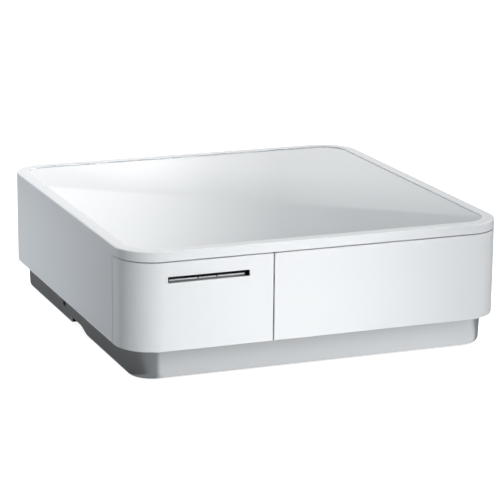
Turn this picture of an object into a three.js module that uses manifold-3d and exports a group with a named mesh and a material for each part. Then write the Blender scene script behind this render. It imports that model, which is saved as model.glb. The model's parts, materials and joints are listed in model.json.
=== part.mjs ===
// A compact till: a receipt printer (left) and a cash drawer (right) in one case.
// Millimetres, +Z up, X across the width, the front faces -Y, origin on the floor under the centre.
import * as THREE from "three";
import { mergeVertices } from "three/addons/utils/BufferGeometryUtils.js";
import Module from "manifold-3d";

const wasm = await Module();
wasm.setup();

// ---------- Driving dimensions ----------
const WIDTH = 300;
const DEPTH = 308;
const HEIGHT = 99;
const FOOT_HEIGHT = 1.8; // from the floor to the underside of the base
const CASE_BOTTOM = 25.5; // underside of the white case
const RIM_BOTTOM = 92.1; // underside of the rim band
const SEAM = 1;
const GAP = 0.3; // between pieces that touch
const CORNER = 29; // plan radius of the case corners
const WALL = 2.5;
const RIM = 9.5; // width of the rim round the glossy panel
const RIM_EDGE = 2; // rounding of the rim's outer edge
const BASE_INSET = 8.8; // the base stands in from the case by this much
const BASE_CORNER = 18.5;
const BASE_EDGE = 3;
const WRAP_END = -121; // front end of the fixed side walls
const SPLIT = -38.15; // plane between printer cover and drawer front
const SHEET = 2; // thickness of the deck, the flanges and the floor plate
const DECK = [CASE_BOTTOM + GAP, CASE_BOTTOM + GAP + SHEET]; // z span
const FLOOR_PLATE = [3, 3 + SHEET]; // z span
const FRONT = -DEPTH / 2;
const BACK = DEPTH / 2;
const SIDE = WIDTH / 2;
const PANEL_TOP = RIM_BOTTOM - SEAM;

// Printer
const HINGE = [-121, 12.5]; // y, z of the cover's hinge
const PLATEN = [-139, 72.6]; // y, z of the platen's axis
const PAPER = [-118, -58]; // x span of the paper
const MODULE = 1; // of the gears
const PLATEN_TEETH = 16;
const IDLER_TEETH = 20;
const PINION_TEETH = 10;
const GEAR_X = [-130.5, -126.5];
const ADDENDUM = 0.8; // tooth height above the pitch circle, in modules
const DEDENDUM = 1.2; // tooth depth below it
const TIP_SHARE = 0.12; // half a tooth's width at its tip and root, as shares of the pitch
const ROOT_SHARE = 0.28;
const IDLER_ANGLE = THREE.MathUtils.degToRad(16.7); // from the platen, above the +Y direction
const PINION_ANGLE = THREE.MathUtils.degToRad(-60); // from the idler
const ARM_X = [
  [-133, -131.4],
  [-46, -44.4],
];
const HINGE_PIN = { r: 2.5, x: [-137, -41] };
const ROLL = { y: -96, z: 56.5, r: 27 };

// Drawer
const TUB = { x: [-29, 139.4], y: [-150.2, 120], z: [30, 88], wall: 2 };
const RAIL = { z: [52, 66], lip: 2, groove: 2.3, front: -118, outerBack: 130, play: 0.5 };
const OUTER_RAIL_X = { left: [-36.5, -33.1], right: [143.5, 147] };
const INNER_RAIL_X = { left: [-34.8, TUB.x[0] - GAP], right: [TUB.x[1] + GAP, 145.3] };
const TRAY = { y: [-143.5, -45], z: [32.4, 70], wall: 2, play: 0.5, columns: 4, rows: 2, scoop: 14 };
const DIVIDERS = { count: 4, first: -42, pitch: 37, lean: 26, thick: 1.6, z: [32.4, 84], play: 0.4 };
const LATCH = [66, 144]; // x, y of the drawer latch's pivot

// ---------- Solids ----------
const EPS = 1; // how far a cutter runs past a face

function solid(geometry) {
  const bare = geometry.clone();
  bare.deleteAttribute("normal");
  bare.deleteAttribute("uv");
  const merged = mergeVertices(bare, 1e-4);
  return new wasm.Manifold(
    new wasm.Mesh({
      numProp: 3,
      vertProperties: merged.attributes.position.array,
      triVerts: new Uint32Array(merged.index.array),
    }),
  );
}

function box(x, y, z) {
  const g = new THREE.BoxGeometry(x[1] - x[0], y[1] - y[0], z[1] - z[0]);
  g.translate((x[0] + x[1]) / 2, (y[0] + y[1]) / 2, (z[0] + z[1]) / 2);
  return solid(g);
}

function roundedPlan(inset, corner) {
  const a = SIDE - inset;
  const b = BACK - inset;
  const shape = new THREE.Shape();
  shape.absarc(a - corner, b - corner, corner, 0, Math.PI / 2);
  shape.absarc(-a + corner, b - corner, corner, Math.PI / 2, Math.PI);
  shape.absarc(-a + corner, -b + corner, corner, Math.PI, (3 * Math.PI) / 2);
  shape.absarc(a - corner, -b + corner, corner, (3 * Math.PI) / 2, 2 * Math.PI);
  shape.closePath();
  return shape;
}

function extrude(shape, z, segments = 8) {
  const g = new THREE.ExtrudeGeometry(shape, {
    depth: z[1] - z[0],
    bevelEnabled: false,
    curveSegments: segments,
  });
  g.translate(0, 0, z[0]);
  return solid(g);
}

// A block of the case's plan, standing in by inset; edge rounds the face at its top or bottom.
function block(inset, corner, z, edge = 0, edgeAt = "top") {
  if (!edge) return extrude(roundedPlan(inset, corner), z);
  const low = edgeAt === "top" ? z[0] - EPS - edge : z[0] + edge;
  const high = edgeAt === "top" ? z[1] - edge : z[1] + EPS + edge;
  const g = new THREE.ExtrudeGeometry(roundedPlan(inset + edge, corner - edge), {
    depth: high - low,
    bevelEnabled: true,
    bevelSize: edge,
    bevelThickness: edge,
    bevelSegments: 3,
    curveSegments: 8,
  });
  g.translate(0, 0, low);
  const all = solid(g);
  const keep = box([-WIDTH, WIDTH], [-DEPTH, DEPTH], z);
  return all.intersect(keep);
}

// A polygon of [y, z] points, extruded along X.
function extrudeX(points, x) {
  const shape = new THREE.Shape(points.map(([y, z]) => new THREE.Vector2(y, z)));
  return extrudeShapeX(shape, x);
}

function extrudeShapeX(shape, x) {
  const g = new THREE.ExtrudeGeometry(shape, {
    depth: x[1] - x[0],
    bevelEnabled: false,
    curveSegments: 6,
  });
  g.rotateX(Math.PI / 2);
  g.rotateZ(Math.PI / 2);
  g.translate(x[0], 0, 0);
  return solid(g);
}

// A cylinder along an axis: centre holds the two other coordinates, in X, Y, Z order.
function cylinder(axis, centre, r, span, sides = 24) {
  const g = new THREE.CylinderGeometry(r, r, span[1] - span[0], sides);
  const middle = (span[0] + span[1]) / 2;
  if (axis === "x") g.rotateZ(Math.PI / 2).translate(middle, centre[0], centre[1]);
  if (axis === "y") g.translate(centre[0], middle, centre[1]);
  if (axis === "z") g.rotateX(Math.PI / 2).translate(centre[0], centre[1], middle);
  return solid(g);
}

function gear(teeth, bore, centre, x, turn) {
  const pitch = (MODULE * teeth) / 2;
  const tip = pitch + ADDENDUM * MODULE;
  const root = pitch - DEDENDUM * MODULE;
  const step = (2 * Math.PI) / teeth;
  const halfTip = TIP_SHARE * step;
  const halfRoot = ROOT_SHARE * step;
  const points = [];
  for (let i = 0; i < teeth; i += 1) {
    const a = turn + i * step;
    for (const [r, d] of [
      [root, -halfRoot],
      [tip, -halfTip],
      [tip, halfTip],
      [root, halfRoot],
    ]) {
      points.push([centre[0] + r * Math.cos(a + d), centre[1] + r * Math.sin(a + d)]);
    }
  }
  const body = extrudeX(points, x);
  return bore ? body.subtract(cylinder("x", centre, bore, [x[0] - EPS, x[1] + EPS])) : body;
}

// ---------- Materials ----------
function look(color, roughness, metalness = 0) {
  return { color, roughness, metalness };
}
const LOOKS = {
  case_white: look(0xf2f4f5, 0.45),
  gloss_white: look(0xf4f6f7, 0.06),
  base_silver: look(0xa9aeb2, 0.35, 0.6),
  black_plastic: look(0x17191b, 0.5),
  dark_plastic: look(0x3a3d40, 0.6),
  steel: look(0xb4b7ba, 0.35, 0.9),
  tear_steel: look(0xd5d8da, 0.25, 1),
  aluminium: look(0xc2c5c8, 0.4, 0.9),
  rubber: look(0x1d1d1e, 0.85),
  gear_plastic: look(0xe9e7df, 0.5),
  board_green: look(0x1d5a3a, 0.5),
  brass: look(0xb08d4a, 0.35, 0.9),
};

const till = new THREE.Group();

function addTo(group) {
  return (name, shape, material) => {
    const raw = shape.getMesh();
    const g = new THREE.BufferGeometry();
    g.setAttribute("position", new THREE.BufferAttribute(raw.vertProperties, 3));
    g.setIndex(new THREE.BufferAttribute(raw.triVerts, 1));
    g.computeVertexNormals();
    const mesh = new THREE.Mesh(g, new THREE.MeshStandardMaterial(LOOKS[material]));
    mesh.name = name;
    group.add(mesh);
  };
}

function bodyGroup() {
  const group = new THREE.Group();
  till.add(group);
  return addTo(group);
}

// ---------- Shared shapes ----------
const CASE_INNER = CORNER - WALL;
const frontZone = (x) => box(x, [FRONT - EPS, WRAP_END - SEAM], [0, PANEL_TOP]);

// The wall of a front panel with the narrow flange that closes the overhang over the base.
function frontPanel(x) {
  const shell = block(0, CORNER, [CASE_BOTTOM, PANEL_TOP]).subtract(
    block(WALL, CASE_INNER, [CASE_BOTTOM - EPS, PANEL_TOP + EPS]),
  );
  const flangeTop = CASE_BOTTOM + SHEET;
  const flange = block(WALL - GAP, CASE_INNER, [CASE_BOTTOM, flangeTop]).subtract(
    block(BASE_INSET - SEAM, BASE_CORNER + SEAM, [CASE_BOTTOM - EPS, flangeTop + EPS]),
  );
  return shell.add(flange).intersect(frontZone(x));
}

const idlerCentre = [
  PLATEN[0] + ((PLATEN_TEETH + IDLER_TEETH) / 2) * MODULE * Math.cos(IDLER_ANGLE),
  PLATEN[1] + ((PLATEN_TEETH + IDLER_TEETH) / 2) * MODULE * Math.sin(IDLER_ANGLE),
];
const pinionCentre = [
  idlerCentre[0] + ((PINION_TEETH + IDLER_TEETH) / 2) * MODULE * Math.cos(PINION_ANGLE),
  idlerCentre[1] + ((PINION_TEETH + IDLER_TEETH) / 2) * MODULE * Math.sin(PINION_ANGLE),
];

// ---------- Case and base ----------
const house = bodyGroup();

const RECESS = 2.3; // depth of the recess that holds the glossy panel
const TOP_SKIN = 2.2; // thickness of the case under the recess
const PANEL = { sink: 0.8, thick: 1.2 };
const ALL_Z = [0, HEIGHT];

function topCase() {
  const recessFloor = HEIGHT - RECESS;
  const outer = block(0, CORNER, [CASE_BOTTOM, HEIGHT], RIM_EDGE);
  const hollow = block(WALL, CASE_INNER, [CASE_BOTTOM - EPS, recessFloor - TOP_SKIN]);
  const recess = block(RIM, CORNER - RIM, [recessFloor, HEIGHT + EPS]);
  const frontCut = box([-WIDTH, WIDTH], [FRONT - EPS, WRAP_END], [0, RIM_BOTTOM]);
  return outer.subtract(hollow).subtract(recess).subtract(frontCut);
}

function topPanel() {
  const top = HEIGHT - PANEL.sink;
  return block(RIM + GAP, CORNER - RIM - GAP, [top - PANEL.thick, top]);
}

// Finger recess in the left base wall, as a [y, z] outline: upright at the rear, a long S at the front.
const ARCH = { rear: 14.4, rearFoot: 24, top: 8.4, flat: -9, middle: [-27, 4.2], front: -48 };

function archShape() {
  const { rear, rearFoot, top, flat, middle, front } = ARCH;
  const shape = new THREE.Shape();
  shape.moveTo(front, 0);
  shape.lineTo(rearFoot, 0);
  shape.lineTo(rearFoot, FOOT_HEIGHT);
  shape.lineTo(rear, FOOT_HEIGHT + SEAM);
  shape.lineTo(rear, top - SEAM);
  shape.quadraticCurveTo(rear, top, rear - SEAM, top);
  shape.lineTo(flat, top);
  shape.bezierCurveTo(flat - 9, top, middle[0] + 5, middle[1] + 2, middle[0], middle[1]);
  shape.bezierCurveTo(middle[0] - 5, middle[1] - 2, front + 9, FOOT_HEIGHT, front, FOOT_HEIGHT - GAP);
  shape.closePath();
  return shape;
}

const SOCKETS = [
  { name: "power_inlet", look: "black_plastic", x: [8, 18], z: [11.9, 22.4], rim: [1.8, 1.8] },
  { name: "usb_b_socket", look: "steel", x: [30, 42], z: [11.9, 22.9], rim: [1.7, 1.6] },
  { name: "usb_a_socket_1", look: "steel", x: [56, 70.5], z: [11.9, 19.1], rim: [0.9, 0.9] },
  { name: "usb_a_socket_2", look: "steel", x: [76, 90.5], z: [11.9, 19.1], rim: [0.9, 0.9] },
];
const SOCKET_DEPTH = 16;
const SOCKET_BACK = 4; // wall behind a socket's mouth
const BUTTON = { x: [105, 115], z: [12.5, 20], depth: 7, proud: 1.5 };
const BASE_BACK = BACK - BASE_INSET;
const SECURITY_SLOT = { y: [24, 31], z: [13, 16] };

function baseSkirt() {
  const z = [FOOT_HEIGHT, CASE_BOTTOM];
  const outer = block(BASE_INSET, BASE_CORNER, z, BASE_EDGE, "bottom");
  const inner = block(BASE_INSET + WALL, BASE_CORNER - WALL, [z[0] - EPS, z[1] + EPS]);
  const leftWall = [-SIDE, -SIDE + BASE_INSET + WALL + EPS];
  const backWall = [BASE_BACK - WALL - EPS, BASE_BACK + EPS];
  let skirt = outer.subtract(inner).subtract(extrudeShapeX(archShape(), leftWall));
  for (const { x, z: span } of [...SOCKETS, BUTTON]) {
    const hole = box([x[0] - GAP, x[1] + GAP], backWall, [span[0] - GAP, span[1] + GAP]);
    skirt = skirt.subtract(hole);
  }
  return skirt.subtract(box(leftWall, SECURITY_SLOT.y, SECURITY_SLOT.z));
}

const POCKET = { x: [-138.4, -116], y: [-40, 16], z: [2.8, 16.5], wall: 1.5 };
const SLIDER = {
  x: [56, 76],
  y: [88, 110],
  top: 7,
  tabX: [62, 70],
  tabY: [90, 96],
  windowBack: 104,
};
const LUGS = { x: [[-131, -128], [-51, -48]], reach: 4, above: 4.5 };
const BELOW_DECK = [0, 10]; // z span of cutters through the floor plate

function bottomPlate() {
  let plate = block(BASE_INSET + WALL + GAP, BASE_CORNER - WALL - GAP, FLOOR_PLATE);
  const pocketY = [POCKET.y[0] - GAP, POCKET.y[1] + GAP];
  plate = plate.subtract(box([-SIDE, POCKET.x[1] + GAP], pocketY, BELOW_DECK));
  const windowX = [SLIDER.tabX[0] - SEAM, SLIDER.tabX[1] + SEAM];
  const windowY = [SLIDER.tabY[0] - SEAM, SLIDER.windowBack];
  plate = plate.subtract(box(windowX, windowY, BELOW_DECK));
  const lugY = [HINGE[0] - LUGS.reach, HINGE[0] + LUGS.reach];
  for (const x of LUGS.x) {
    plate = plate.add(box(x, lugY, [FLOOR_PLATE[1] - GAP, HINGE[1] + LUGS.above]));
  }
  return plate.subtract(cylinder("x", HINGE, HINGE_PIN.r + GAP, [-SIDE, 0]));
}

const ARM_WINDOW = { play: 2, y: [-140, -112] };

function deck() {
  const rearOnly = box([-WIDTH, WIDTH], [WRAP_END - SEAM / 2, BACK], ALL_Z);
  const rear = block(WALL + GAP, CASE_INNER - GAP, DECK).intersect(rearOnly);
  let plate = block(BASE_INSET, BASE_CORNER, DECK).add(rear);
  for (const x of ARM_X) {
    const windowX = [x[0] - ARM_WINDOW.play, x[1] + ARM_WINDOW.play];
    plate = plate.subtract(box(windowX, ARM_WINDOW.y, ALL_Z));
  }
  return plate;
}

function archPocket() {
  const { x, y, z, wall } = POCKET;
  const inner = box(
    [x[0] - EPS, x[1] - wall],
    [y[0] + wall, y[1] - wall],
    [z[0] - EPS, z[1] - wall],
  );
  return box(x, y, z).subtract(inner);
}

const FOOT = { r: 9, edge: 1, at: [115, 120] };
const SCREW = { r: 3.2, low: 1.3, slotLow: 2, slotLong: 2, slotThin: 0.4, at: [126, 62] };
const PLATE_UNDER = FLOOR_PLATE[0] - GAP; // feet and screws end just below the floor plate

function foot(x, y) {
  const profile = [
    [0, 0],
    [FOOT.r - FOOT.edge, 0],
    [FOOT.r, FOOT.edge],
    [FOOT.r, PLATE_UNDER],
    [0, PLATE_UNDER],
  ].map(([r, z]) => new THREE.Vector2(r, z));
  const g = new THREE.LatheGeometry(profile, 24).rotateX(Math.PI / 2).translate(x, y, 0);
  return solid(g);
}

function screw(x, y) {
  const { r, low, slotLow, slotLong, slotThin } = SCREW;
  const head = cylinder("z", [x, y], r, [low, PLATE_UNDER], 16);
  const slotZ = [0, slotLow];
  const long = box([x - slotLong, x + slotLong], [y - slotThin, y + slotThin], slotZ);
  const cross = box([x - slotThin, x + slotThin], [y - slotLong, y + slotLong], slotZ);
  return head.subtract(long).subtract(cross);
}

const PARTITION = { x: [SPLIT - 0.3, SPLIT + 1.2], y: [WRAP_END + 3, BACK - WALL - SEAM], top: 94.2 };

house("top_case", topCase(), "case_white");
house("top_panel", topPanel(), "gloss_white");
house("base_skirt", baseSkirt(), "base_silver");
house("bottom_plate", bottomPlate(), "dark_plastic");
house("deck", deck(), "case_white");
house("lever_pocket", archPocket(), "black_plastic");
house("partition", box(PARTITION.x, PARTITION.y, [DECK[1] + GAP, PARTITION.top]), "steel");
const QUARTERS = [
  [-1, -1],
  [1, -1],
  [-1, 1],
  [1, 1],
];
QUARTERS.forEach(([sx, sy], i) => {
  house(`foot_${i + 1}`, foot(sx * FOOT.at[0], sy * FOOT.at[1]), "rubber");
  house(`screw_${i + 1}`, screw(sx * SCREW.at[0], sy * SCREW.at[1]), "steel");
});

// ---------- Fixed printer parts ----------
const BIN = { y: [-126, -66], top: 70, play: 1, end: 2, frontTop: 44, frontCut: -100 };

function paperBin() {
  const { y, top, play, end, frontTop, frontCut } = BIN;
  const x = [PAPER[0] - play, PAPER[1] + play];
  const rollY = [ROLL.y - ROLL.r, ROLL.y + ROLL.r];
  return box([x[0] - end, x[1] + end], y, [DECK[1] + GAP, top])
    .subtract(cylinder("x", [ROLL.y, ROLL.z], ROLL.r, x, 48))
    .subtract(box(x, rollY, [ROLL.z, top + EPS]))
    .subtract(box(x, [y[0] - EPS, frontCut], [frontTop, top + EPS]));
}

const ROLLER = { r: 6, x: [-121, -55] };
const PLATEN_SHAFT = { r: 2.5, x: [-136.5, -42] };
const HEAD = { beyond: 1.5, clear: 0.4, thick: 2.5, y: [-144, -134] };
const HEAD_X = [PAPER[0] - HEAD.beyond, PAPER[1] + HEAD.beyond];
const HEAD_BOTTOM = PLATEN[1] + ROLLER.r + HEAD.clear;
const BRACKET = { beyond: 2, shelf: 2.2, y: [-144, -130], webY: [-132, -130], top: HEIGHT - 4.8 };

function printHead() {
  return box(HEAD_X, HEAD.y, [HEAD_BOTTOM, HEAD_BOTTOM + HEAD.thick]);
}

function headBracket() {
  const x = [HEAD_X[0] - BRACKET.beyond, HEAD_X[1] + BRACKET.beyond];
  const low = HEAD_BOTTOM + HEAD.thick + GAP;
  const shelf = box(x, BRACKET.y, [low, low + BRACKET.shelf]);
  return shelf.add(box(x, BRACKET.webY, [low, BRACKET.top]));
}

const GEAR_PLATE_X = [-125.6, -124];
const IDLER_AXLE = { r: 2, play: 0.1, proud: 0.5 };

function gearPlate() {
  const outline = [
    [-100, DECK[1] + GAP],
    [-100, 76],
    [-110, 88],
    [-132, 88],
    [-132, 66],
    [-114, 50],
    [-114, DECK[1] + GAP],
  ];
  const axleX = [GEAR_X[0] - IDLER_AXLE.proud, GEAR_PLATE_X[1] - EPS];
  return extrudeX(outline, GEAR_PLATE_X).add(cylinder("x", idlerCentre, IDLER_AXLE.r, axleX, 16));
}

const MOTOR = { r: 12, x: [-146.8, -136.4], flange: 1.2, front: 9, back: 15, half: 11 };

function stepperMotor() {
  const [y, z] = pinionCentre;
  const can = cylinder("x", pinionCentre, MOTOR.r, MOTOR.x, 32);
  const flange = box(
    [MOTOR.x[1] - GAP, MOTOR.x[1] + MOTOR.flange],
    [y - MOTOR.front, y + MOTOR.back],
    [z - MOTOR.half, z + MOTOR.half],
  );
  return can.add(flange);
}

house("paper_bin", paperBin(), "dark_plastic");
house("print_head", printHead(), "black_plastic");
house("head_bracket", headBracket(), "aluminium");
house("gear_plate", gearPlate(), "steel");
house("stepper_motor", stepperMotor(), "steel");
house("hinge_pin", cylinder("x", HINGE, HINGE_PIN.r, HINGE_PIN.x), "steel");

// ---------- Fixed drawer parts ----------
// side is where the rail stands; its groove faces the drawer.
function outerRail(side) {
  const x = OUTER_RAIL_X[side];
  const y = [RAIL.front, RAIL.outerBack];
  const left = [x[0] - EPS, x[0] + RAIL.groove];
  const right = [x[1] - RAIL.groove, x[1] + EPS];
  const groove = box(
    side === "left" ? right : left,
    [y[0] - EPS, y[1] + EPS],
    [RAIL.z[0] + RAIL.lip, RAIL.z[1] - RAIL.lip],
  );
  return box(x, y, RAIL.z).subtract(groove);
}

const SOLENOID = { x: [78, 100], y: [127, 141], top: 45, end: 8 };
const PLUNGER = { at: [134, 37.5], r: 2.5, play: 0.4, x: [70, 87] }; // at: y, z of its axis

function solenoid() {
  const bore = [SOLENOID.x[0] - EPS, SOLENOID.x[1] - SOLENOID.end];
  return box(SOLENOID.x, SOLENOID.y, [DECK[1] + GAP, SOLENOID.top]).subtract(
    cylinder("x", PLUNGER.at, PLUNGER.r + PLUNGER.play, bore, 16),
  );
}

const SPRING = { at: [112, 44], y: 123, length: 25, r: 5, wire: 0.7, turns: 6, perTurn: 12 };

function ejectorSpring() {
  const { at, y, length, r, wire, turns, perTurn } = SPRING;
  const steps = turns * perTurn;
  const points = [];
  for (let i = 0; i <= steps; i += 1) {
    const a = (2 * Math.PI * i) / perTurn;
    const turned = [at[0] + r * Math.cos(a), at[1] + r * Math.sin(a)];
    points.push(new THREE.Vector3(turned[0], y + (length * i) / steps, turned[1]));
  }
  const ring = new THREE.Shape();
  ring.absarc(0, 0, wire, 0, 2 * Math.PI);
  return solid(
    new THREE.ExtrudeGeometry(ring, {
      steps,
      curveSegments: 3,
      bevelEnabled: false,
      extrudePath: new THREE.CatmullRomCurve3(points),
    }),
  );
}

const LATCH_STAND = { x: [42, 76], y: [131, 150], top: 30, pin: 2, pinZ: [29, 43] };

function latchBracket() {
  const plate = box(LATCH_STAND.x, LATCH_STAND.y, [DECK[1] + GAP, LATCH_STAND.top]);
  return plate.add(cylinder("z", LATCH, LATCH_STAND.pin, LATCH_STAND.pinZ, 16));
}

function socket({ x, z, rim }) {
  const y = [BASE_BACK - SOCKET_DEPTH, BASE_BACK - GAP];
  const mouth = box(
    [x[0] + rim[0], x[1] - rim[0]],
    [y[0] + SOCKET_BACK, y[1] + EPS],
    [z[0] + rim[1], z[1] - rim[1]],
  );
  return box(x, y, z).subtract(mouth);
}

const BOARD = { x: [0, 120], y: [60, 138], z: [10, 11.6], chipTop: 13.4, canTop: 19, canR: 4 };
const CHIPS = [
  { x: [20, 40], y: [80, 100] },
  { x: [60, 72], y: [76, 88] },
  { x: [88, 104], y: [96, 104] },
];
const CANS = [14, 50, 100].map((x) => [x, 68]);

function mainBoard() {
  const sunk = BOARD.z[1] - GAP;
  let board = box(BOARD.x, BOARD.y, BOARD.z);
  for (const { x, y } of CHIPS) board = board.add(box(x, y, [sunk, BOARD.chipTop]));
  for (const at of CANS) board = board.add(cylinder("z", at, BOARD.canR, [sunk, BOARD.canTop], 16));
  return board;
}

const SENSOR = { x: [20, 30], y: [124, 134], top: 44, gateX: [23.4, 26.6], gateLow: 35 };
const FLAG = { x: [24.4, 25.6], back: 131, z: [37, 42] };

function drawerSensor() {
  const gateY = [SENSOR.y[0] - EPS, SENSOR.y[1] + EPS];
  const gate = box(SENSOR.gateX, gateY, [SENSOR.gateLow, SENSOR.top + EPS]);
  return box(SENSOR.x, SENSOR.y, [DECK[1] + GAP, SENSOR.top]).subtract(gate);
}

house("rail_outer_left", outerRail("left"), "steel");
house("rail_outer_right", outerRail("right"), "steel");
house("solenoid", solenoid(), "brass");
house("latch_bracket", latchBracket(), "steel");
house("ejector_spring", ejectorSpring(), "steel");
house("drawer_sensor", drawerSensor(), "black_plastic");
house("main_board", mainBoard(), "board_green");
for (const row of SOCKETS) house(row.name, socket(row), row.look);

// ---------- Drawer ----------
const drawer = bodyGroup();
const TUB_INSET = WALL + SEAM;
const TUB_CORNER = CASE_INNER - SEAM;

function drawerTub() {
  const { x, y, z, wall } = TUB;
  const outer = box(x, y, z).intersect(block(TUB_INSET, TUB_CORNER, z));
  const hollowZ = [z[0] + wall, z[1] + EPS];
  const inner = box([x[0] + wall, x[1] - wall], [y[0] + wall, y[1] - wall], hollowZ);
  return outer.subtract(inner.intersect(block(TUB_INSET + wall, TUB_CORNER - wall, hollowZ)));
}

// One coin cup: a box with a scooped front and back, like half a pill.
function cup(x, y, z) {
  const r = TRAY.scoop;
  const shape = new THREE.Shape();
  shape.moveTo(y[0], z[1] + EPS);
  shape.lineTo(y[0], z[0] + r);
  shape.absarc(y[0] + r, z[0] + r, r, Math.PI, (3 * Math.PI) / 2);
  shape.absarc(y[1] - r, z[0] + r, r, (3 * Math.PI) / 2, 2 * Math.PI);
  shape.lineTo(y[1], z[1] + EPS);
  shape.closePath();
  return extrudeShapeX(shape, x);
}

function coinTray() {
  const { y, z, wall, play, columns, rows } = TRAY;
  const inset = TUB_INSET + TUB.wall + play;
  const corner = TUB_CORNER - TUB.wall - play;
  const x = [TUB.x[0] + TUB.wall + play, TUB.x[1] - TUB.wall - play];
  const cupX = (x[1] - x[0] - wall * (columns + 1)) / columns;
  const cupY = (y[1] - y[0] - wall * (rows + 1)) / rows;
  const cupZ = [z[0] + wall, z[1]];
  const keep = block(inset + wall, corner - wall, ALL_Z);
  let tray = box(x, y, z).intersect(block(inset, corner, z));
  for (let i = 0; i < columns; i += 1) {
    for (let j = 0; j < rows; j += 1) {
      const x0 = x[0] + wall + i * (cupX + wall);
      const y0 = y[0] + wall + j * (cupY + wall);
      tray = tray.subtract(cup([x0, x0 + cupX], [y0, y0 + cupY], cupZ).intersect(keep));
    }
  }
  return tray;
}

function billDivider(i) {
  const { first, pitch, lean, thick, z, play } = DIVIDERS;
  const y = first + i * pitch;
  const outline = [
    [y, z[0]],
    [y + thick, z[0]],
    [y + thick + lean, z[1]],
    [y + lean, z[1]],
  ];
  return extrudeX(outline, [TUB.x[0] + TUB.wall + play, TUB.x[1] - TUB.wall - play]);
}

function innerRail(side) {
  const inside = RAIL.lip + RAIL.play;
  return box(
    INNER_RAIL_X[side],
    [RAIL.front, TUB.y[1]],
    [RAIL.z[0] + inside, RAIL.z[1] - inside],
  );
}

const STRIKE = {
  footX: [44, 56],
  footZ: [33, 46],
  stemX: [50, 53],
  hookX: [50, 58.5],
  hookY: [126.5, 128.5],
  hookZ: [34, 42],
};

function strike() {
  const back = TUB.y[1];
  const plate = box(STRIKE.footX, [back + GAP, back + SHEET], STRIKE.footZ);
  const stem = box(STRIKE.stemX, [back + SEAM, STRIKE.hookY[1]], STRIKE.hookZ);
  return plate.add(stem).add(box(STRIKE.hookX, STRIKE.hookY, STRIKE.hookZ));
}

drawer("drawer_front", frontPanel([SPLIT + SEAM / 2, SIDE + EPS]), "case_white");
drawer("drawer_tub", drawerTub(), "dark_plastic");
drawer("coin_tray", coinTray(), "dark_plastic");
for (let i = 0; i < DIVIDERS.count; i += 1) {
  drawer(`bill_divider_${i + 1}`, billDivider(i), "dark_plastic");
}
drawer("rail_inner_left", innerRail("left"), "steel");
drawer("rail_inner_right", innerRail("right"), "steel");
drawer("strike", strike(), "steel");
drawer("sensor_flag", box(FLAG.x, [TUB.y[1] + GAP, FLAG.back], FLAG.z), "black_plastic");

// ---------- Printer cover ----------
const cover = bodyGroup();
const SLOT = { x: [-119, -57], z: [76, 80.4] };
const BEZEL = { thick: 2, side: 3, below: 3, above: 2.6, sink: 0.6, mouthZ: [77.3, 79.7] };
const TEAR_BAR = { y: [0.4, 4.5], z: [77.6, 79.2], ends: [0.1, 3] }; // y is behind the front

function printerCover() {
  const panel = frontPanel([-SIDE - EPS, SPLIT - SEAM / 2]);
  return panel.subtract(box(SLOT.x, [FRONT - EPS, FRONT + WALL + EPS], SLOT.z));
}

function slotBezel() {
  const inside = FRONT + WALL + GAP;
  const frame = box(
    [SLOT.x[0] - BEZEL.side, SLOT.x[1] + BEZEL.side],
    [inside, inside + BEZEL.thick],
    [SLOT.z[0] - BEZEL.below, SLOT.z[1] + BEZEL.above],
  );
  const nose = box(
    [SLOT.x[0] + GAP, SLOT.x[1] - GAP],
    [FRONT + BEZEL.sink, inside + SEAM],
    [SLOT.z[0] + GAP, SLOT.z[1] - GAP],
  );
  const mouthX = [PAPER[0] - GAP, PAPER[1] + GAP];
  const mouth = box(mouthX, [FRONT - EPS, inside + BEZEL.thick + EPS], BEZEL.mouthZ);
  return frame.add(nose).subtract(mouth);
}

function tearBar() {
  const { y, z, ends } = TEAR_BAR;
  return box([PAPER[0] + ends[0], PAPER[1] - ends[1]], [FRONT + y[0], FRONT + y[1]], z);
}

// An arm from the hinge up to the platen's shaft. front is where it meets the cover's inner face.
const ARM_BORE = 2.6;

function coverArm(x, front) {
  const outline = [
    [HINGE[0] + 4, HINGE[1] - 4],
    [HINGE[0] + 4, 50],
    [-132, 62],
    [-132, 78],
    [-145, 78],
    [-147, 72],
    [front, 66],
    [front, 43],
    [HINGE[0] - 2.5, 43],
    [HINGE[0] - 2.5, HINGE[1] + 6],
    [HINGE[0] - 4, HINGE[1] + 4],
    [HINGE[0] - 4, HINGE[1] - 4],
  ];
  const span = [x[0] - EPS, x[1] + EPS];
  return extrudeX(outline, x)
    .subtract(cylinder("x", HINGE, ARM_BORE, span))
    .subtract(cylinder("x", PLATEN, ARM_BORE, span));
}

cover("printer_cover", printerCover(), "case_white");
cover("slot_bezel", slotBezel(), "black_plastic");
cover("tear_bar", tearBar(), "tear_steel");
cover("cover_arm_left", coverArm(ARM_X[0], -148), "steel");
cover("cover_arm_right", coverArm(ARM_X[1], FRONT + WALL + GAP), "steel");

// ---------- Paper feed ----------
const platen = bodyGroup();
const ROLLER_BORE = PLATEN_SHAFT.r + GAP;

function platenRoller() {
  const bore = cylinder("x", PLATEN, ROLLER_BORE, [ROLLER.x[0] - EPS, ROLLER.x[1] + EPS]);
  return cylinder("x", PLATEN, ROLLER.r, ROLLER.x, 32).subtract(bore);
}

platen("platen_roller", platenRoller(), "rubber");
platen("platen_shaft", cylinder("x", PLATEN, PLATEN_SHAFT.r, PLATEN_SHAFT.x), "steel");
platen("platen_gear", gear(PLATEN_TEETH, ROLLER_BORE, PLATEN, GEAR_X, IDLER_ANGLE), "gear_plastic");

// The idler's gap faces the platen gear's tooth.
const idlerTurn = IDLER_ANGLE + Math.PI + Math.PI / IDLER_TEETH;
const idlerBore = IDLER_AXLE.r + IDLER_AXLE.play;
const idler = bodyGroup();
idler("idler_gear", gear(IDLER_TEETH, idlerBore, idlerCentre, GEAR_X, idlerTurn), "gear_plastic");

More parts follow.
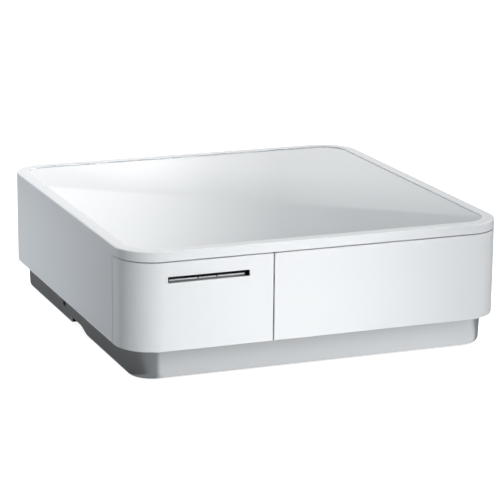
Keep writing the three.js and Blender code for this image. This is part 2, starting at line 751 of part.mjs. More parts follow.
// The idler's tooth nearest to the pinion sits off the line of centres; the pinion's teeth take it up.
const MOTOR_SHAFT = { r: 1.5, end: -134.9 };
const idlerPhase = (PINION_ANGLE - idlerTurn) % ((2 * Math.PI) / IDLER_TEETH);
const pinionTurn =
  PINION_ANGLE + Math.PI + (idlerPhase * IDLER_TEETH) / PINION_TEETH + Math.PI / PINION_TEETH;
const pinion = bodyGroup();

function motorPinion() {
  const shaftX = [MOTOR_SHAFT.end, GEAR_X[0] + EPS];
  const shaft = cylinder("x", pinionCentre, MOTOR_SHAFT.r, shaftX, 16);
  return gear(PINION_TEETH, 0, pinionCentre, GEAR_X, pinionTurn).add(shaft);
}

pinion("motor_pinion", motorPinion(), "brass");

// ---------- Levers, latch and buttons ----------
const LEVER = { pivot: [-121, 10], r: 2, tip: -137.2, y: [-36, 12], z: [7, 9] }; // pivot: x, z
const lever = bodyGroup();

function releaseLever() {
  const blade = box([LEVER.tip, LEVER.pivot[0]], LEVER.y, LEVER.z);
  return blade.add(cylinder("y", LEVER.pivot, LEVER.r, LEVER.y, 16));
}

lever("cover_release_lever", releaseLever(), "black_plastic");

const ROD = { x: [-131, -127], y: [-111, -5], z: [17.2, 19.2], hookX: [-131, -125], hookTop: 22 };
const ROD_HOOK = 4; // length of the hook at the rod's front end
const rod = bodyGroup();

function latchRod() {
  const hookY = [ROD.y[0], ROD.y[0] + ROD_HOOK];
  return box(ROD.x, ROD.y, ROD.z).add(box(ROD.hookX, hookY, [ROD.z[0], ROD.hookTop]));
}

rod("cover_latch_rod", latchRod(), "steel");

const LATCH_ARM = { z: [36, 39], boss: 4.5, bore: 2.1, x: [63.5, 68.5], hookX: [60, 64] };
const HOOK_Y = [121.6, 124.4];
const latch = bodyGroup();

function drawerLatch() {
  const { z, boss, bore, x, hookX } = LATCH_ARM;
  return cylinder("z", LATCH, boss, z)
    .add(box(x, [HOOK_Y[0], LATCH[1]], z))
    .add(box(hookX, HOOK_Y, z))
    .subtract(cylinder("z", LATCH, bore, [z[0] - EPS, z[1] + EPS], 16));
}

latch("drawer_latch", drawerLatch(), "steel");

const plunger = bodyGroup();
plunger("solenoid_plunger", cylinder("x", PLUNGER.at, PLUNGER.r, PLUNGER.x, 16), "steel");

const slider = bodyGroup();

function manualRelease() {
  const plate = box(SLIDER.x, SLIDER.y, [FLOOR_PLATE[1] + GAP, SLIDER.top]);
  return plate.add(box(SLIDER.tabX, SLIDER.tabY, [FLOOR_PLATE[0], FLOOR_PLATE[1] + SEAM]));
}

slider("manual_release", manualRelease(), "black_plastic");

const button = bodyGroup();
const buttonY = [BASE_BACK - BUTTON.depth, BASE_BACK + BUTTON.proud];
button("power_button", box(BUTTON.x, buttonY, BUTTON.z), "black_plastic");

export default till;
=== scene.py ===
"""Looks of the till: a receipt printer and a cash drawer in one white case, on a satin silver base.

Units are metres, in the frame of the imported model. X runs across the width, the front faces -Y.
"""

import json
import math

import bmesh
import bpy
from mathutils import Matrix, Vector


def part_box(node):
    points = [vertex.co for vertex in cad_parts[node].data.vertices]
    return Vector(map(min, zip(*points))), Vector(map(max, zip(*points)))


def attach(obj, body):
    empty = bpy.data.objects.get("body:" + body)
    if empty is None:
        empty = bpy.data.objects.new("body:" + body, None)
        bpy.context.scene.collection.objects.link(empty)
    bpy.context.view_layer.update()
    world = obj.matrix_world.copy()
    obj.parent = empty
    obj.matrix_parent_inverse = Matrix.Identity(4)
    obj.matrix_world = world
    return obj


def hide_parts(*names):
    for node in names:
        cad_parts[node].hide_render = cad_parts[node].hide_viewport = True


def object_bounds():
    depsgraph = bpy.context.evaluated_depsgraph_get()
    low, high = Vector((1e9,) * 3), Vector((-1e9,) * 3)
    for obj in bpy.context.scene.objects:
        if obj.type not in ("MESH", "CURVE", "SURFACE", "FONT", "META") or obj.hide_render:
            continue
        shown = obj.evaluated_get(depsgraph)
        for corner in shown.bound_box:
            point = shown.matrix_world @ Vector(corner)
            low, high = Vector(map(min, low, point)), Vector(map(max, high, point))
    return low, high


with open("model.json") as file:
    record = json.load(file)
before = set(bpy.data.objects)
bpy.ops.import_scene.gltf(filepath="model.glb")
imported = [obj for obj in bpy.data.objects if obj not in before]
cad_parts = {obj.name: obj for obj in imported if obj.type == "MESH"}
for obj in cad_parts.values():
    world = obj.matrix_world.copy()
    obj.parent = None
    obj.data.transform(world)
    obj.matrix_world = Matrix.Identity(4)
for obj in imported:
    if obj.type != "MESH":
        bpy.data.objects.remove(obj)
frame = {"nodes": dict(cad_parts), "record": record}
CAD_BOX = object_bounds()
MM = 0.001

# ---------- Sizes, from the frame ----------
SIDE = CAD_BOX[1][0]
BACK = CAD_BOX[1][1]
TOP = CAD_BOX[1][2]
CASE_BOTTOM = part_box("top_case")[0].z
BASE_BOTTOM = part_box("base_skirt")[0].z
PANEL_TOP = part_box("printer_cover")[1].z
SEAM = 1.0 * MM
RIM_SEAM = 0.6 * MM
RIM_BOTTOM = PANEL_TOP + RIM_SEAM
WRAP_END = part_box("printer_cover")[1].y + SEAM
WALL = 2.5 * MM
CORNER = 29 * MM
RIM = 9.5 * MM
BASE_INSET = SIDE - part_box("base_skirt")[1].x
PANEL_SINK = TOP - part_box("top_panel")[1].z

# ---------- Tolerances ----------
SAME_PLACE = 1e-7
SAME_POINT = 1e-6
NEARLY_FLAT = 0.8  # degrees between faces that are merged


# ---------- Mesh tools ----------
def object_from(bm, name):
    """Turns the bmesh into an object of the scene, and frees it."""
    mesh = bpy.data.meshes.new(name)
    bm.to_mesh(mesh)
    bm.free()
    obj = bpy.data.objects.new(name, mesh)
    bpy.context.scene.collection.objects.link(obj)
    return obj


def plan(inset, steps=14):
    """The case's outline, inset: (x, y) points anticlockwise from the front right, corners rounded."""
    radius = CORNER - inset
    points = []
    corners = [
        (SIDE - CORNER, -BACK + CORNER, -90),
        (SIDE - CORNER, BACK - CORNER, 0),
        (-SIDE + CORNER, BACK - CORNER, 90),
        (-SIDE + CORNER, -BACK + CORNER, 180),
    ]
    for x, y, start in corners:
        for i in range(steps + 1):
            a = math.radians(start + 90 * i / steps)
            points.append((x + radius * math.cos(a), y + radius * math.sin(a)))
    return points


def with_stations(points, stations):
    """Places on the closed path, as (point, share of the way to the next), one more at each station.

    A station is (axis, value): the path gets a place wherever it crosses that coordinate.
    """
    made = []
    count = len(points)
    for i in range(count):
        p, q = points[i], points[(i + 1) % count]
        made.append((i, 0.0))
        cuts = []
        for axis, value in stations:
            low, high = sorted((p[axis], q[axis]))
            if low + SAME_PLACE < value < high - SAME_PLACE:
                cuts.append((value - p[axis]) / (q[axis] - p[axis]))
        made += [(i, share) for share in sorted(cuts)]
    return made


def at_place(points, place):
    """The point at a place of the path."""
    i, share = place
    p = points[i]
    q = points[(i + 1) % len(points)]
    return (p[0] + (q[0] - p[0]) * share, p[1] + (q[1] - p[1]) * share)


def rounding(inset, z, radius, start, end, steps=5):
    """A fillet of a wall's section: centre at (inset, z), angles in degrees, 0 inwards and 90 up."""
    out = []
    for i in range(steps + 1):
        a = math.radians(start + (end - start) * i / steps)
        out.append((inset + radius * math.cos(a), z + radius * math.sin(a)))
    return out


def sweep(name, section, stations, keep=lambda x, y: True):
    """Sweeps a closed (inset, z) section round the plan. keep(x, y) says which stretches to build."""
    reference = plan(0.0)
    places = with_stations(reference, stations)
    rings = {}
    for inset, _ in section:
        if inset not in rings:
            outline = plan(inset)
            rings[inset] = [at_place(outline, place) for place in places]
    count = len(places)
    outer = [at_place(reference, place) for place in places]
    built = []
    for i in range(count):
        j = (i + 1) % count
        middle = ((outer[i][0] + outer[j][0]) / 2, (outer[i][1] + outer[j][1]) / 2)
        built.append(keep(*middle))
    bm = bmesh.new()
    verts = {}

    def vert(i, k):
        if (i, k) not in verts:
            inset, z = section[k]
            x, y = rings[inset][i]
            verts[(i, k)] = bm.verts.new((x, y, z))
        return verts[(i, k)]

    levels = len(section)
    for i in range(count):
        if not built[i]:
            continue
        j = (i + 1) % count
        for k in range(levels):
            m = (k + 1) % levels
            bm.faces.new((vert(i, k), vert(j, k), vert(j, m), vert(i, m)))
    for i in range(count):
        before = built[i - 1]
        if before != built[i]:
            bm.faces.new([vert(i, k) for k in range(levels)])
    bmesh.ops.recalc_face_normals(bm, faces=bm.faces)
    return object_from(bm, name)


def block(name, low, high):
    """A box between two corners, for cutting and joining."""
    bm = bmesh.new()
    bmesh.ops.create_cube(bm, size=1)
    for v in bm.verts:
        v.co = Vector(low[a] + (high[a] - low[a]) * (v.co[a] + 0.5) for a in range(3))
    return object_from(bm, name)


def prism(name, outline, axis, span):
    """A polygon of two coordinates, extruded along axis (0, 1 or 2) over span."""
    others = [a for a in range(3) if a != axis]
    bm = bmesh.new()
    ends = []
    for value in span:
        ring = []
        for point in outline:
            co = [0.0, 0.0, 0.0]
            co[axis] = value
            co[others[0]], co[others[1]] = point
            ring.append(bm.verts.new(co))
        ends.append(ring)
    bm.faces.new(ends[0])
    bm.faces.new(ends[1])
    count = len(outline)
    for i in range(count):
        j = (i + 1) % count
        bm.faces.new((ends[0][i], ends[0][j], ends[1][j], ends[1][i]))
    bmesh.ops.recalc_face_normals(bm, faces=bm.faces)
    return object_from(bm, name)


def bake_modifiers(obj):
    """Makes the result of the modifiers the object's own mesh."""
    depsgraph = bpy.context.evaluated_depsgraph_get()
    mesh = bpy.data.meshes.new_from_object(obj.evaluated_get(depsgraph))
    obj.modifiers.clear()
    obj.data = mesh


def combine(obj, others, operation="DIFFERENCE"):
    """Cuts the others from the object, or joins them to it, and removes them."""
    for other in others:
        boolean = obj.modifiers.new("cut", "BOOLEAN")
        boolean.operation = operation
        boolean.solver = "EXACT"
        boolean.object = other
        bake_modifiers(obj)
        bpy.data.objects.remove(other)


def soften(obj, width, angle=32, segments=3, dissolve=False):
    """Rounds the edges sharper than angle degrees, and shades the rest smooth.

    dissolve first merges the flat triangles of a CAD node.
    """
    for polygon in obj.data.polygons:
        polygon.use_smooth = True
    if dissolve:
        merge = obj.modifiers.new("weld", "WELD")
        merge.merge_threshold = SAME_POINT
        flat = obj.modifiers.new("dissolve", "DECIMATE")
        flat.decimate_type = "DISSOLVE"
        flat.angle_limit = math.radians(NEARLY_FLAT)
    bevel = obj.modifiers.new("bevel", "BEVEL")
    bevel.width = width
    bevel.segments = segments
    bevel.limit_method = "ANGLE"
    bevel.angle_limit = math.radians(angle)
    normals = obj.modifiers.new("normals", "WEIGHTED_NORMAL")
    normals.keep_sharp = True
    normals.weight = 80


def place(obj, body, node, slot, material):
    """The piece stands for the node, rides on the body and wears the material."""
    obj.data.materials.clear()
    obj.data.materials.append(material)
    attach(obj, body)
    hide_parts(node)


# ---------- Materials ----------
def surface(name, color, rough, metallic=0.0, coat=0.0, coat_rough=0.05, grain=0.4, depth=0.02,
            tint=0.03, rough_swing=0.05, stretch=(1, 1, 1), ior=1.46):
    """A principled surface with a fine moulded or brushed grain, and a broad, faint unevenness.

    grain is the size of the texture in millimetres, and depth is its height in millimetres.
    tint and rough_swing say how much the unevenness changes the colour and the roughness.
    """
    patch = 60 * MM
    material = bpy.data.materials.new(name)
    material.use_nodes = True
    nodes = material.node_tree.nodes
    links = material.node_tree.links
    shader = nodes["Principled BSDF"]
    shader.inputs["Metallic"].default_value = metallic
    shader.inputs["IOR"].default_value = ior
    shader.inputs["Coat Weight"].default_value = coat
    shader.inputs["Coat Roughness"].default_value = coat_rough
    position = nodes.new("ShaderNodeTexCoord")
    mapping = nodes.new("ShaderNodeMapping")
    mapping.inputs["Scale"].default_value = stretch
    links.new(position.outputs["Object"], mapping.inputs["Vector"])

    fine = nodes.new("ShaderNodeTexNoise")
    fine.inputs["Scale"].default_value = 1 / (grain * MM)
    fine.inputs["Detail"].default_value = 3
    links.new(mapping.outputs["Vector"], fine.inputs["Vector"])
    broad = nodes.new("ShaderNodeTexNoise")
    broad.inputs["Scale"].default_value = 1 / patch
    broad.inputs["Detail"].default_value = 4
    links.new(position.outputs["Object"], broad.inputs["Vector"])

    shade = nodes.new("ShaderNodeMix")
    shade.data_type = "RGBA"
    shade.inputs["A"].default_value = (*[c * (1 - tint) for c in color], 1)
    shade.inputs["B"].default_value = (*[min(1.0, c * (1 + tint)) for c in color], 1)
    links.new(broad.outputs["Fac"], shade.inputs["Factor"])
    links.new(shade.outputs["Result"], shader.inputs["Base Color"])

    swing = nodes.new("ShaderNodeMapRange")
    swing.inputs["To Min"].default_value = max(0.0, rough - rough_swing)
    swing.inputs["To Max"].default_value = min(1.0, rough + rough_swing)
    links.new(broad.outputs["Fac"], swing.inputs["Value"])
    links.new(swing.outputs["Result"], shader.inputs["Roughness"])

    bump = nodes.new("ShaderNodeBump")
    bump.inputs["Distance"].default_value = depth * MM
    bump.inputs["Strength"].default_value = 1.0
    links.new(fine.outputs["Fac"], bump.inputs["Height"])
    links.new(bump.outputs["Normal"], shader.inputs["Normal"])
    return material


LOOKS = {
    "case_white": surface("case_white", (0.80, 0.81, 0.82), 0.36, coat=0.15, coat_rough=0.25,
                          grain=0.5, depth=0.006, tint=0.012),
    "gloss_white": surface("gloss_white", (0.62, 0.65, 0.67), 0.16, coat=1.0, coat_rough=0.02,
                           grain=40, depth=0.01, tint=0.008, rough_swing=0.02),
    "base_silver": surface("base_silver", (0.62, 0.64, 0.655), 0.3, metallic=0.9, grain=0.4,
                           depth=0.008, tint=0.03),
    "black_plastic": surface("black_plastic", (0.010, 0.010, 0.012), 0.45, grain=0.3, depth=0.012,
                             ior=1.25),
    "dark_plastic": surface("dark_plastic", (0.045, 0.048, 0.052), 0.5, grain=0.45, depth=0.02,
                            tint=0.1),
    "steel": surface("steel", (0.58, 0.59, 0.60), 0.3, metallic=1.0, grain=0.25, depth=0.006,
                     stretch=(1, 0.06, 1), tint=0.05, rough_swing=0.1),
    "tear_steel": surface("tear_steel", (0.70, 0.71, 0.72), 0.45, metallic=0.15, grain=0.15,
                          depth=0.004, stretch=(0.05, 1, 1)),
    # The lip's steel: the tear steel again, only much darker, as painted shade on the strip below the
    # blade.
    "tear_lip_painted_shade": surface("tear_lip_painted_shade", (0.15, 0.16, 0.17), 0.45, metallic=0.15, grain=0.15,
                        depth=0.004, stretch=(0.05, 1, 1)),
    "aluminium": surface("aluminium", (0.68, 0.69, 0.70), 0.36, metallic=1.0, grain=0.3, depth=0.01,
                         stretch=(0.05, 1, 1)),
    "rubber": surface("rubber", (0.02, 0.02, 0.021), 0.75, grain=0.6, depth=0.03, tint=0.15),
    "gear_plastic": surface("gear_plastic", (0.72, 0.70, 0.64), 0.45, grain=0.5, depth=0.01),
    "board_green": surface("board_green", (0.01, 0.11, 0.05), 0.35, coat=0.4, grain=1.2, depth=0.02,
                           tint=0.3),
    "brass": surface("brass", (0.72, 0.52, 0.24), 0.3, metallic=1.0, grain=0.2, depth=0.006),
}


# ---------- Case ----------
def in_front_zone(x, y):
    """Where the cover and the drawer front stand in for the case's wall."""
    return y < WRAP_END


# (axis, value) where the walls are split: the ends of the front panels, and the middle of each side
STATIONS = [(1, WRAP_END), (1, WRAP_END - SEAM), (1, 0.0), (0, 0.0)]


def build_top_case():
    outer_edge = 1.0 * MM
    inner_edge = 0.5 * MM
    recess = TOP - 2.3 * MM
    under = TOP - 4.5 * MM
    ledge = RIM + 6 * MM
    rim_section = [
        (0.0, RIM_BOTTOM),
        *rounding(outer_edge, TOP - outer_edge, outer_edge, 180, 90, 7),
        *rounding(RIM - inner_edge, TOP - inner_edge, inner_edge, 90, 0, 3),
        (RIM, recess),
        (ledge, recess),
        (ledge, under),
        (WALL, under),
        (WALL, RIM_BOTTOM),
    ]
    shell = sweep("case_shell", rim_section, STATIONS)
    overlap = 1.2 * MM
    wall_section = [
        (0.0, CASE_BOTTOM),
        (0.0, RIM_BOTTOM + overlap),
        (WALL, RIM_BOTTOM + overlap),
        (WALL, CASE_BOTTOM),
    ]
    walls = sweep("side_walls", wall_section, STATIONS, lambda x, y: not in_front_zone(x, y))
    step = 0.75 * MM
    plate = prism("top_plate", plan(RIM + 3 * MM), 2, (under + step, recess - step))
    combine(shell, [walls, plate], "UNION")
    soften(shell, 0.35 * MM)
    place(shell, "housing", "top_case", "case_white", LOOKS["case_white"])


def build_top_panel():
    edge = 0.08 * MM
    gap = 0.02 * MM
    thick = 1.2 * MM
    top = TOP - PANEL_SINK
    inset = RIM + gap
    section = [(inset, top - thick), *rounding(inset + edge, top - edge, edge, 180, 90, 4)]
    bm = bmesh.new()
    rings = [[bm.verts.new((x, y, z)) for x, y in plan(level)] for level, z in section]
    for lower, upper in zip(rings, rings[1:]):
        count = len(lower)
        for i in range(count):
            j = (i + 1) % count
            bm.faces.new((lower[i], lower[j], upper[j], upper[i]))
    bm.faces.new(rings[-1])
    bm.faces.new(list(reversed(rings[0])))
    bmesh.ops.recalc_face_normals(bm, faces=bm.faces)
    panel = object_from(bm, "glossy_panel")
    for polygon in panel.data.polygons:
        polygon.use_smooth = True
    normals = panel.modifiers.new("normals", "WEIGHTED_NORMAL")
    normals.weight = 100
    place(panel, "housing", "top_panel", "gloss_white", LOOKS["gloss_white"])


def socket_cutters():
    """Openings in the base's rear wall, a little larger than what looks out of them."""
    clear = 0.35 * MM
    wall = BACK - BASE_INSET
    cutters = []
    for node in ("power_inlet", "usb_b_socket", "usb_a_socket_1", "usb_a_socket_2", "power_button"):
        low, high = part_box(node)
        cutters.append(block("opening", (low.x - clear, wall - 2 * WALL, low.z - clear),
                             (high.x + clear, wall + WALL, high.z + clear)))
    return cutters


def security_slot_cutter():
    """The slot for a security lock, in the base's left wall."""
    y = (25 * MM, 32 * MM)
    z = (12.4 * MM, 16 * MM)
    return block("security_slot", (-SIDE, y[0], z[0]), (-SIDE + BASE_INSET + 2 * WALL, y[1], z[1]))


def build_base():
    draft = 0.6 * MM
    lean = 0.3 * MM
    edge = 4.4 * MM
    sole = 0.4 * MM
    low_inset = BASE_INSET + draft
    inner = BASE_INSET + WALL
    section = [
        (BASE_INSET - lean, CASE_BOTTOM),
        (low_inset, BASE_BOTTOM + edge),
        *rounding(low_inset + edge, BASE_BOTTOM + edge, edge, 180, 268, 6)[1:],
        (low_inset + edge + sole, BASE_BOTTOM),
        (inner, BASE_BOTTOM + 2 * MM),
        (inner, CASE_BOTTOM),
    ]
    base = sweep("silver_base", section, STATIONS)
    combine(base, [arch_cutter(), *socket_cutters(), security_slot_cutter()])
    soften(base, 0.25 * MM, angle=42)
    place(base, "housing", "base_skirt", "base_silver", LOOKS["base_silver"])


def bezier(p, q, r, s, steps=10):
    """Points after p on the cubic curve from p to s."""
    made = []
    for i in range(1, steps + 1):
        t = i / steps
        u = 1 - t
        made.append(
            tuple(u**3 * a + 3 * u * u * t * b + 3 * u * t * t * c + t**3 * d
                  for a, b, c, d in zip(p, q, r, s))
        )
    return made


def quadratic(p, q, r, steps=5):
    """Points after p on the quadratic curve from p to r."""
    made = []
    for i in range(1, steps + 1):
        t = i / steps
        u = 1 - t
        made.append(tuple(u * u * a + 2 * u * t * b + t * t * c for a, b, c in zip(p, q, r)))
    return made


def arch_cutter():
    """The finger recess in the base's left wall, in (y, z): upright at the rear, a long S in front."""
    rear = 14.4 * MM
    rear_foot = 24 * MM
    top = 8.4 * MM
    flat = -9 * MM
    middle = (-27 * MM, 4.2 * MM)
    front = -48 * MM
    ease = 9 * MM
    slope = (5 * MM, 2 * MM)
    run_out = 0.3 * MM
    low = BASE_BOTTOM
    above = (middle[0] + slope[0], middle[1] + slope[1])
    below = (middle[0] - slope[0], middle[1] - slope[1])
    outline = [(front, 0), (rear_foot, 0), (rear_foot, low), (rear, low + SEAM), (rear, top - SEAM)]
    outline += quadratic(outline[-1], (rear, top), (rear - SEAM, top))
    outline += bezier((flat, top), (flat - ease, top), above, middle)
    outline += bezier(middle, below, (front + ease, low), (front, low - run_out))
    return prism("arch", outline, 0, (-SIDE, -SIDE + BASE_INSET + 2.5 * WALL))


# ---------- Front panels ----------
SPLIT_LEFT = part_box("printer_cover")[1].x
SPLIT_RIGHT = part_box("drawer_front")[0].x
BEZEL_SIDE = 3 * MM
BEZEL_BELOW = 3 * MM
BEZEL_ABOVE = 2.6 * MM


def panel_section():
    """A wall with the flange that closes the overhang over the base."""
    edge = 0.5 * MM
    flange = CASE_BOTTOM + 2 * MM
    reach = BASE_INSET - 1.0 * MM
    return [
        *rounding(edge, CASE_BOTTOM + edge, edge, 270, 180, 3),
        *rounding(edge, PANEL_TOP - edge, edge, 180, 90, 3),
        (WALL, PANEL_TOP),
        (WALL, flange),
        (reach, flange),
        (reach, CASE_BOTTOM),
    ]


def build_cover():
    stations = STATIONS + [(0, SPLIT_LEFT)]
    cover = sweep("cover_shell", panel_section(), stations,
                  lambda x, y: y < WRAP_END - SEAM and x < SPLIT_LEFT)
    low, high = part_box("slot_bezel")
    slot = block("slot", (low.x + BEZEL_SIDE, -BACK - WALL, low.z + BEZEL_BELOW),
                 (high.x - BEZEL_SIDE, -BACK + 2 * WALL, high.z - BEZEL_ABOVE))
    combine(cover, [slot])
    soften(cover, 0.3 * MM)
    place(cover, "cover", "printer_cover", "case_white", LOOKS["case_white"])


def build_drawer_front():
    stations = STATIONS + [(0, SPLIT_RIGHT)]
    front = sweep("drawer_face", panel_section(), stations,
                  lambda x, y: y < WRAP_END - SEAM and x > SPLIT_RIGHT)
    soften(front, 0.3 * MM)
    place(front, "drawer", "drawer_front", "case_white", LOOKS["case_white"])


def build_tear_bar():
    """A blade with a row of small teeth and two narrow gaps."""
    low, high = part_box("tear_bar")
    pitch = 1.5 * MM
    tooth = 0.18 * MM
    top = high.z - 0.75 * MM
    root = low.y + tooth
    outline = [(high.x, high.y), (low.x, high.y), (low.x, root)]
    for i in range(int((high.x - low.x) / pitch)):
        x = low.x + i * pitch
        outline += [(x + pitch / 2, low.y), (x + pitch, root)]
    outline.append((high.x, root))
    bar = prism("tear_blade", outline, 2, (low.z, top))
    gap_shares = (0.38, 0.63)
    half_gap = 0.5 * MM
    gap_depth = 2.6 * MM
    cutters = []
    for share in gap_shares:
        x = low.x + share * (high.x - low.x)
        cutters.append(block("gap", (x - half_gap, low.y - WALL, low.z - WALL),
                             (x + half_gap, low.y + gap_depth, high.z + WALL)))
    combine(bar, cutters)
    soften(bar, 0.06 * MM, segments=2)
    place(bar, "cover", "tear_bar", "tear_steel", LOOKS["tear_steel"])


def build_tear_lip():
    """The folded lip that hangs down in front of the blade. Its steel is a much darker copy of the
    blade's: painted shade on the strip below the blade.
    """
    low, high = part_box("tear_bar")
    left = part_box("slot_bezel")[0].x + BEZEL_SIDE + 0.25 * MM
    top = low.z - 0.03 * MM
    bottom = low.z - 1.1 * MM
    back = low.y + 0.15 * MM
    outline = [(low.y - 0.2 * MM, top), (back, top), (back, bottom), (low.y + 0.05 * MM, bottom)]
    lip = prism("tear_lip_painted_shade", outline, 0, (left, high.x))
    # Painted shade: the lip wears the darker copy of the tear steel.
    lip.data.materials.append(LOOKS["tear_lip_painted_shade"])
    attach(lip, "cover")


def build_socket_tongues():
    """The insulating tongue inside each USB socket."""
    front_gap = 3.5 * MM
    rear_gap = 1.5 * MM
    usb_a = (0.9 * MM, 0.9 * MM, 1.6 * MM)
    usb_b = (0.0, 1.6 * MM, 3.2 * MM)
    for node, (rise, half_height, side_gap) in (
        ("usb_a_socket_1", usb_a),
        ("usb_a_socket_2", usb_a),
        ("usb_b_socket", usb_b),
    ):
        low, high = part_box(node)
        middle = (low.z + high.z) / 2 + rise
        tongue = block(f"{node}_tongue",
                       (low.x + side_gap, low.y + front_gap, middle - half_height),
                       (high.x - side_gap, high.y - rear_gap, middle + half_height))
        soften(tongue, 0.2 * MM)
        tongue.data.materials.append(LOOKS["black_plastic"])
        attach(tongue, "housing")


def finish_cad_nodes():
    """The CAD nodes that stay get rounded edges and their slot's material."""
    replaced = {"top_case", "top_panel", "base_skirt", "printer_cover", "drawer_front", "tear_bar"}
    fine = {"ejector_spring", "platen_gear", "idler_gear", "motor_pinion"}
    fine_edge = 0.08 * MM
    edge = 0.3 * MM
    slots = {row["node"]: row["material_slot"] for row in frame["record"]["subparts"]}
    for node, obj in frame["nodes"].items():
        if node in replaced:
            continue
        obj.data.materials.clear()
        obj.data.materials.append(LOOKS[slots[node]])
        width = fine_edge if node in fine else edge
        soften(obj, width, segments=2, dissolve=node != "ejector_spring")


build_top_case()
build_top_panel()
build_base()
build_cover()
build_drawer_front()
build_tear_bar()
build_tear_lip()
build_socket_tongues()
finish_cad_nodes()


# ---------- Camera, floor and light ----------
WHITE = (1, 1, 1)
FLOOR_GLOW = 0.88
AMBIENT = 0.25
AMBIENT_COLOR = (0.90, 0.96, 1, 1)
LIGHTS = (
    # name, place, target, width and height, watts, colour, spread, seen in reflections
    ("front", (1.44, -3.87, 0.20), (-0.03, -0.15, 0.05), (0.3, 0.3), 0.37, WHITE, 7, False),
    ("left_rear", (-1.6, 1.5, 0.30), (-0.15, 0, 0.05), (0.7, 0.5), 5, (0.86, 0.93, 1), 180, True),
    ("left_low", (-0.36, 0.16, 0.005), (-0.15, 0.08, 0), (0.5, 0.03), 0.55, (0.92, 0.96, 1), 180,
     False),
    ("top", (0.2, 0.1, 1.9), (0, 0, 0.05), (1.2, 1.2), 17, WHITE, 180, True),
    ("right_rear", (1.2, 0.9, 1.0), (0, 0, 0.05), (0.8, 0.6), 12, WHITE, 180, False),
)


def build_camera():
    """A long lens from the left and above. Azimuth 0 looks along +Y at the front."""
    azimuth = math.radians(-21.557)
    elevation = math.radians(14.526)
    roll = math.radians(0.513)
    distance = 1.74087
    focal_length = 158.4
    target = Vector((3.75 * MM, 0, 52.06 * MM))
    back = Vector((
        math.sin(azimuth) * math.cos(elevation),
        -math.cos(azimuth) * math.cos(elevation),
        math.sin(elevation),
    ))
    right = Vector((math.cos(azimuth), math.sin(azimuth), 0))
    up = back.cross(right)
    right_rolled = math.cos(roll) * right + math.sin(roll) * up
    up_rolled = -math.sin(roll) * right + math.cos(roll) * up
    data = bpy.data.cameras.new("camera")
    data.sensor_width = 36
    data.lens = focal_length
    data.clip_end = 50
    camera = bpy.data.objects.new("camera", data)
    bpy.context.scene.collection.objects.link(camera)
    turn = Matrix((right_rolled, up_rolled, back)).transposed().to_4x4()
    camera.matrix_world = Matrix.Translation(target + back * distance) @ turn
    bpy.context.scene.camera = camera


def floor_surface():
    """A plain matt surface with light of its own, so that only a faint shadow shows on it."""
    material = bpy.data.materials.new("floor")
    material.use_nodes = True
    shader = material.node_tree.nodes["Principled BSDF"]
    shader.inputs["Base Color"].default_value = (0.9, 0.9, 0.9, 1)
    shader.inputs["Roughness"].default_value = 0.9
    shader.inputs["Specular IOR Level"].default_value = 0.0
    shader.inputs["Emission Color"].default_value = (1, 1, 1, 1)
    shader.inputs["Emission Strength"].default_value = FLOOR_GLOW
    return material


def build_floor():
    """A pale floor, hidden from bounced light so that the object's shaded side stays shaded."""
    half_width = 14
    bm = bmesh.new()
    bmesh.ops.create_grid(bm, x_segments=1, y_segments=1, size=half_width)
    floor = object_from(bm, "floor")
    floor.data.materials.append(floor_surface())
    floor.visible_diffuse = False
    floor.visible_glossy = False


def area_light(name, location, target, size, power, color, spread, in_reflections):
    """A rectangular lamp, aimed at target. power is in watts and spread in degrees."""
    data = bpy.data.lights.new(name, "AREA")
    data.shape = "RECTANGLE"
    data.size, data.size_y = size
    data.energy = power
    data.color = color
    data.spread = math.radians(spread)
    light = bpy.data.objects.new(name, data)
    light.location = location
    aim = Vector(target) - Vector(location)
    light.rotation_euler = aim.to_track_quat("-Z", "Y").to_euler()
    light.visible_camera = False
    light.visible_glossy = in_reflections
    bpy.context.scene.collection.objects.link(light)


def reflector(name, rows):
    """A glowing sheet that only glossy surfaces see. rows holds rows of (position, strength)."""
    bm = bmesh.new()
    layer = bm.verts.layers.float_color.new("glow")
    grid = []
    for row in rows:
        line = []
        for position, strength in row:
            vert = bm.verts.new(position)
            vert[layer] = (strength, strength, strength, 1)
            line.append(vert)
        grid.append(line)
    for low, high in zip(grid, grid[1:]):
        for i in range(len(low) - 1):
            bm.faces.new((low[i], low[i + 1], high[i + 1], high[i]))
    sheet = object_from(bm, name)
    material = bpy.data.materials.new(name)
    material.use_nodes = True
    nodes = material.node_tree.nodes
    nodes.remove(nodes["Principled BSDF"])
    glow = nodes.new("ShaderNodeEmission")
    level = nodes.new("ShaderNodeAttribute")
    level.attribute_name = "glow"
    links = material.node_tree.links
    links.new(level.outputs["Fac"], glow.inputs["Strength"])
    links.new(glow.outputs["Emission"], nodes["Material Output"].inputs["Surface"])
    sheet.data.materials.append(material)
    sheet.visible_camera = False
    sheet.visible_diffuse = False
    sheet.visible_shadow = False


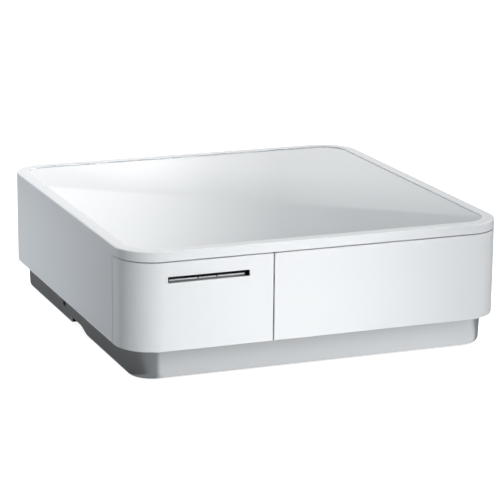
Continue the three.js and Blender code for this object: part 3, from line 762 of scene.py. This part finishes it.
def build_softboxes():
    """Two glowing walls behind the object, brighter to the left. The glossy top mirrors them.

    upper, lower and foot are the glow at each place across: above the split, just below it, and
    from the foot of the wall up to the blend.
    """
    wall_y = 1.2
    height = 0.9
    blend = 0.045
    top_fade = 0.8
    split_height = 0.339
    split_slope = 0.1446
    across = (-1.6, 0.12, 0.3, 0.42, 0.52, 0.64, 0.9)
    upper = (1.75, 1.7, 1.25, 0.82, 0.5, 0.36, 0.32)
    lower = (1.3, 1.15, 1.0, 0.74, 0.55, 0.62, 0.55)
    foot = (1.3, 1.4, 1.6, 1.05, 0.85, 0.85, 0.6)

    def split(x):
        """Height of the slanted line between the two walls."""
        return split_height + split_slope * x

    reflector("upper_softbox", [
        [((x, wall_y, split(x)), glow) for x, glow in zip(across, upper)],
        [((x, wall_y, split(x) + height), glow * top_fade) for x, glow in zip(across, upper)],
    ])
    reflector("lower_softbox", [
        [((x, wall_y, 0.0), glow) for x, glow in zip(across, foot)],
        [((x, wall_y, split(x) - blend), glow) for x, glow in zip(across, foot)],
        [((x, wall_y, split(x)), glow) for x, glow in zip(across, lower)],
    ])


def build_floor_cards():
    """Glowing sheets just above the floor, that the satin base mirrors in front and at the left."""
    z = 0.4 * MM
    front = -BACK + BASE_INSET
    soft = 8 * MM
    fade = 90 * MM
    middle = 0.1
    edge_glow = 0.1
    soft_share = 0.85
    fade_share = 0.9
    rows = [
        # y, left end, right end, glow, glow at the right end
        (front + 6 * MM, -0.126, 0.17, 1.0, 1.0),
        (front - 25 * MM, -0.125, 0.19, 1.1, 1.0),
        (front - 90 * MM, -0.121, 0.30, 0.34, 0.5),
        (front - 1.6, -0.060, 1.80, 0.5, 0.6),
    ]
    reflector("floor_card_front", [
        [((x0, y, z), edge_glow), ((x0 + soft, y, z), glow * soft_share),
         ((x0 + fade, y, z), glow * fade_share), ((middle, y, z), glow), ((x1, y, z), end_glow)]
        for y, x0, x1, glow, end_glow in rows
    ])
    left = -SIDE + BASE_INSET
    along = (-0.16, 0.6, 2.4)
    columns = [
        # distance from the base, glow at each place along it
        (0.0, (0.05, 0.06, 0.1)),
        (0.1, (0.18, 0.17, 0.2)),
        (1.5, (0.3, 0.3, 0.3)),
    ]
    reflector("floor_card_left", [
        [((left - away, y, z), glow) for y, glow in zip(along, glows)]
        for away, glows in columns
    ])


def build_light():
    world = bpy.data.worlds.new("world")
    world.use_nodes = True
    background = world.node_tree.nodes["Background"]
    background.inputs["Color"].default_value = AMBIENT_COLOR
    background.inputs["Strength"].default_value = AMBIENT
    bpy.context.scene.world = world
    bpy.context.scene.view_settings.view_transform = "Standard"
    for light in LIGHTS:
        area_light(*light)


build_camera()
build_floor()
build_light()
build_softboxes()
build_floor_cards()
